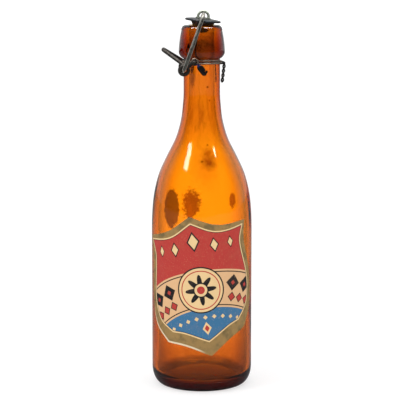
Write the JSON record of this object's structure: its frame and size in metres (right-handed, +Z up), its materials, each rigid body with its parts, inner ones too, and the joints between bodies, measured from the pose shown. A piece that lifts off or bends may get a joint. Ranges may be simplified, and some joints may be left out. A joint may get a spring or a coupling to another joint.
{
  "type": "blob top bottle with wire bail closure",
  "caption": "Round amber glass bottle with a thick blob lip and a wire bail closure: a lever clamps a plugged stopper on the mouth; shield-shaped paper label.",
  "frame": {"origin": "on the bottle's axis, at the level of the ring it stands on", "axes": "+Z up along the bottle's axis; the lever's handle points to -X; the pivots run along Y; the label faces -Y"},
  "size_m": [0.067, 0.0672, 0.2518],
  "materials": {
    "amber_glass": "clear amber blown glass with slight waves",
    "dark_wire": "blackened thin iron wire",
    "steel_wire": "aged dull wire with a dark skin",
    "staple_metal": "dull grey tinned metal",
    "dark_disc": "smooth dark skin with a bluish sheen",
    "black_rubber": "aged black rubber",
    "label_paper": "thin aged paper with printed fields of colour"
  },
  "bodies": {
    "bottle": {"glass_bottle": "amber_glass", "tie_wire": "dark_wire", "paper_label": "label_paper"},
    "lever": {"lever_wire": "steel_wire"},
    "bail": {"bail_wire": "steel_wire"},
    "stopper": {"stopper_staple": "staple_metal", "stopper_disc": "dark_disc", "stopper_plug": "black_rubber"}
  },
  "joints": [
    {"name": "lever_turn", "type": "hinge", "parent": "bottle", "child": "lever", "pos_m": [-0.0046, 0, 0.2184], "axis": [0, -1, 0], "range_deg": [-30, 72]},
    {"name": "bail_turn", "type": "hinge", "parent": "lever", "child": "bail", "pos_m": [-0.01164, 0, 0.21311], "axis": [0, -1, 0], "range_deg": [-54.8, 22.9]},
    {"name": "stopper_turn", "type": "hinge", "parent": "bail", "child": "stopper", "pos_m": [0.0011, 0, 0.24835], "axis": [0, -1, 0], "range_deg": [-10.1, 4.3]}
  ],
  "couplings": [
    {"joint": "bail_turn", "follows": "lever_turn", "ratio": -0.76},
    {"joint": "stopper_turn", "follows": "lever_turn", "ratio": -0.14}
  ]
}
